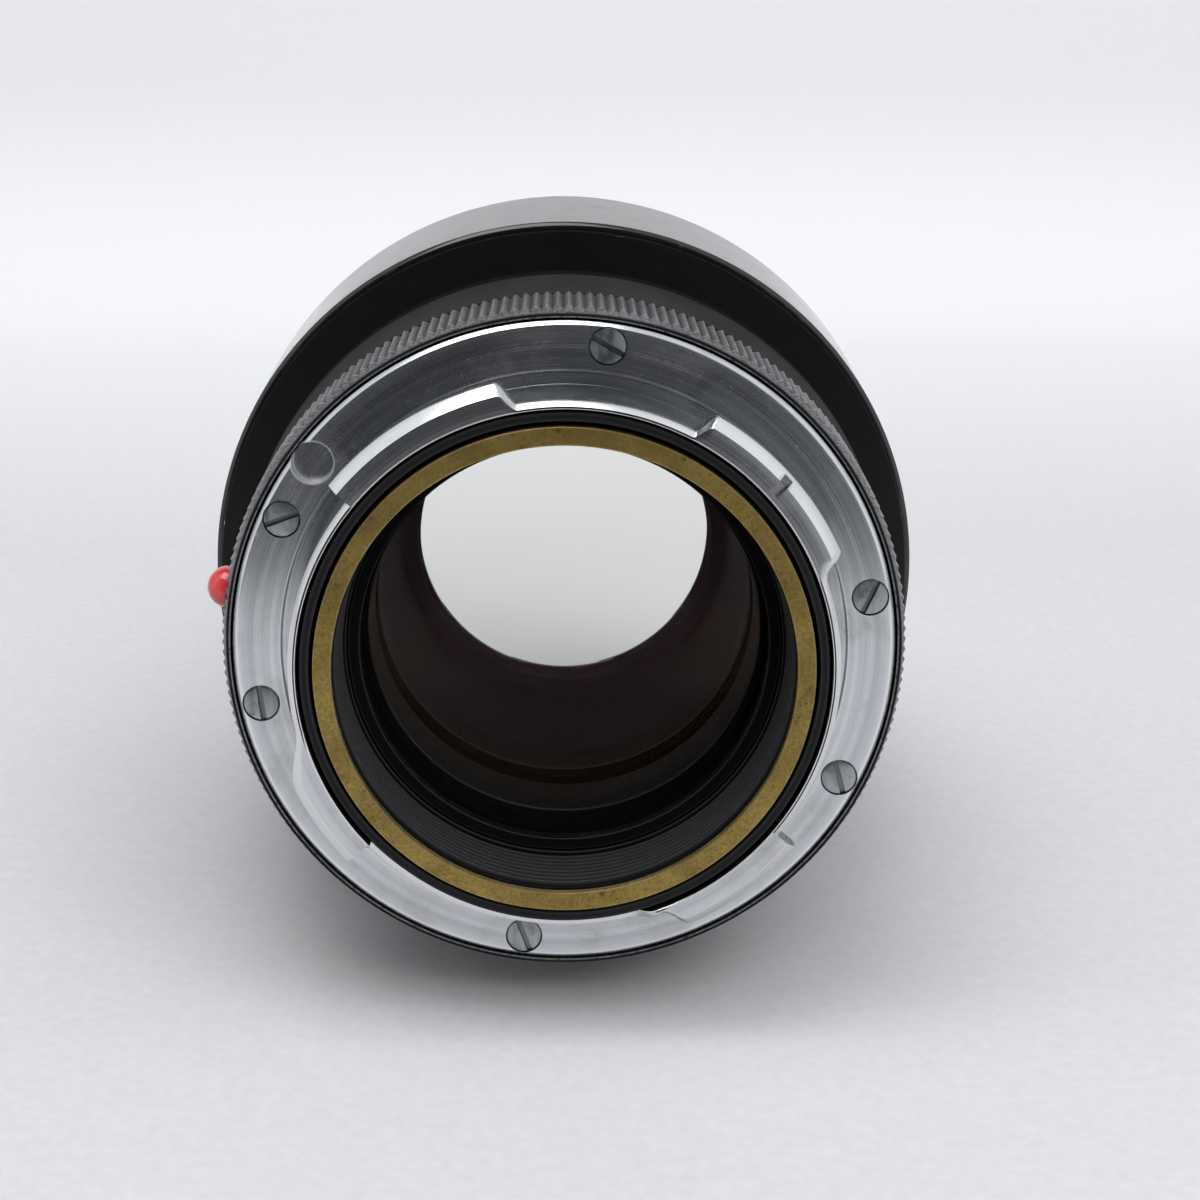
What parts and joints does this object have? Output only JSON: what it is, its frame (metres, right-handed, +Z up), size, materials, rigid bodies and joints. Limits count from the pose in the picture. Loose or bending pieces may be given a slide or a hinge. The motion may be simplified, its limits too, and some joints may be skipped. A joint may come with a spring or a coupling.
{
  "type": "camera lens",
  "caption": "Rangefinder bayonet portrait lens with focusing ring, coupled cam ring, iris and telescopic hood, set at infinity and full aperture.",
  "frame": {"origin": "centre of the lens's bounding box, on the optical axis", "axes": "+Y along the optical axis towards the front of the lens, +Z up with the lens lying on its side, +X to the right seen from the rear mount"},
  "size_m": [0.0596, 0.0834, 0.0596],
  "materials": {
    "satin_chrome": "satin chrome on brass, turned rings showing, worn on the lugs",
    "screw_steel": "bright steel, turned faces",
    "worn_enamel": "black enamel worn grey on the knurl tips",
    "black_enamel": "satin black enamel",
    "matt_black": "matt black anodised",
    "thread_brass": "machined brass with helicoid grease",
    "bare_brass": "bare turned brass, tarnished and speckled",
    "blade_steel": "blued spring steel",
    "red_bead": "glossy red",
    "coated_glass": "optical glass with purple and amber coatings"
  },
  "bodies": {
    "root": {"bayonet_flange": "satin_chrome", "flange_screw_1": "screw_steel", "flange_screw_2": "screw_steel", "flange_screw_3": "screw_steel", "flange_screw_4": "screw_steel", "flange_screw_5": "screw_steel", "flange_screw_6": "screw_steel", "mount_ring": "worn_enamel", "index_bead": "red_bead", "rear_sleeve": "matt_black", "main_barrel": "thread_brass", "depth_scale_ring": "black_enamel", "guide_key": "screw_steel"},
    "focus": {"focus_ring": "black_enamel", "drive_helicoid": "thread_brass", "cam_drive_tube": "thread_brass"},
    "cam": {"rangefinder_cam_ring": "bare_brass", "rear_baffle": "matt_black"},
    "optics": {"head_carrier": "thread_brass", "rear_cell": "matt_black", "rear_retaining_ring": "matt_black", "rear_element": "coated_glass", "rear_spacer": "matt_black", "middle_element": "coated_glass", "inner_spacer": "matt_black", "iris_housing": "matt_black", "front_cell": "matt_black", "negative_element": "coated_glass", "second_element": "coated_glass", "front_element": "coated_glass", "front_retaining_ring": "matt_black", "front_trim_ring": "black_enamel", "head_barrel": "black_enamel", "click_spring": "screw_steel", "click_ball": "screw_steel"},
    "aperture": {"aperture_ring": "black_enamel", "iris_drive_ring": "thread_brass"},
    "blade_1": {"iris_blade_1": "blade_steel"},
    "blade_2": {"iris_blade_2": "blade_steel"},
    "blade_3": {"iris_blade_3": "blade_steel"},
    "blade_4": {"iris_blade_4": "blade_steel"},
    "blade_5": {"iris_blade_5": "blade_steel"},
    "blade_6": {"iris_blade_6": "blade_steel"},
    "blade_7": {"iris_blade_7": "blade_steel"},
    "blade_8": {"iris_blade_8": "blade_steel"},
    "blade_9": {"iris_blade_9": "blade_steel"},
    "blade_10": {"iris_blade_10": "blade_steel"},
    "hood": {"hood_tube": "black_enamel", "hood_rim": "black_enamel"}
  },
  "joints": [
    {"name": "focus_turn", "type": "hinge", "parent": "root", "child": "focus", "pos_m": [0, 0, 0], "axis": [0, 1, 0], "range_deg": [0, 165]},
    {"name": "head_slide", "type": "slide", "parent": "root", "child": "optics", "axis": [0, 1, 0], "range_m": [0, 0.0093]},
    {"name": "cam_slide", "type": "slide", "parent": "root", "child": "cam", "axis": [0, 1, 0], "range_m": [0, 0.0028]},
    {"name": "aperture_turn", "type": "hinge", "parent": "optics", "child": "aperture", "pos_m": [0, 0, 0], "axis": [0, 1, 0], "range_deg": [0, 70]},
    {"name": "blade_swing_1", "type": "hinge", "parent": "optics", "child": "blade_1", "pos_m": [0.0157, 0.0019, 0], "axis": [0, -1, 0], "range_deg": [0, 42.5]},
    {"name": "blade_swing_2", "type": "hinge", "parent": "optics", "child": "blade_2", "pos_m": [0.0127, 0.0022, 0.00923], "axis": [0, -1, 0], "range_deg": [0, 42.5]},
    {"name": "blade_swing_3", "type": "hinge", "parent": "optics", "child": "blade_3", "pos_m": [0.00485, 0.0025, 0.01493], "axis": [0, -1, 0], "range_deg": [0, 42.5]},
    {"name": "blade_swing_4", "type": "hinge", "parent": "optics", "child": "blade_4", "pos_m": [-0.00485, 0.0028, 0.01493], "axis": [0, -1, 0], "range_deg": [0, 42.5]},
    {"name": "blade_swing_5", "type": "hinge", "parent": "optics", "child": "blade_5", "pos_m": [-0.0127, 0.0031, 0.00923], "axis": [0, -1, 0], "range_deg": [0, 42.5]},
    {"name": "blade_swing_6", "type": "hinge", "parent": "optics", "child": "blade_6", "pos_m": [-0.0157, 0.0034, 0], "axis": [0, -1, 0], "range_deg": [0, 42.5]},
    {"name": "blade_swing_7", "type": "hinge", "parent": "optics", "child": "blade_7", "pos_m": [-0.0127, 0.0037, -0.00923], "axis": [0, -1, 0], "range_deg": [0, 42.5]},
    {"name": "blade_swing_8", "type": "hinge", "parent": "optics", "child": "blade_8", "pos_m": [-0.00485, 0.004, -0.01493], "axis": [0, -1, 0], "range_deg": [0, 42.5]},
    {"name": "blade_swing_9", "type": "hinge", "parent": "optics", "child": "blade_9", "pos_m": [0.00485, 0.0043, -0.01493], "axis": [0, -1, 0], "range_deg": [0, 42.5]},
    {"name": "blade_swing_10", "type": "hinge", "parent": "optics", "child": "blade_10", "pos_m": [0.0127, 0.0046, -0.00923], "axis": [0, -1, 0], "range_deg": [0, 42.5]},
    {"name": "hood_slide", "type": "slide", "parent": "optics", "child": "hood", "axis": [0, 1, 0], "range_m": [0, 0.0105]}
  ],
  "couplings": [
    {"joint": "head_slide", "follows": "focus_turn", "m_per_rad": 0.00322},
    {"joint": "cam_slide", "follows": "focus_turn", "m_per_rad": 0.00096},
    {"joint": "blade_swing_1", "follows": "aperture_turn", "ratio": 0.6},
    {"joint": "blade_swing_2", "follows": "aperture_turn", "ratio": 0.6},
    {"joint": "blade_swing_3", "follows": "aperture_turn", "ratio": 0.6},
    {"joint": "blade_swing_4", "follows": "aperture_turn", "ratio": 0.6},
    {"joint": "blade_swing_5", "follows": "aperture_turn", "ratio": 0.6},
    {"joint": "blade_swing_6", "follows": "aperture_turn", "ratio": 0.6},
    {"joint": "blade_swing_7", "follows": "aperture_turn", "ratio": 0.6},
    {"joint": "blade_swing_8", "follows": "aperture_turn", "ratio": 0.6},
    {"joint": "blade_swing_9", "follows": "aperture_turn", "ratio": 0.6},
    {"joint": "blade_swing_10", "follows": "aperture_turn", "ratio": 0.6}
  ]
}
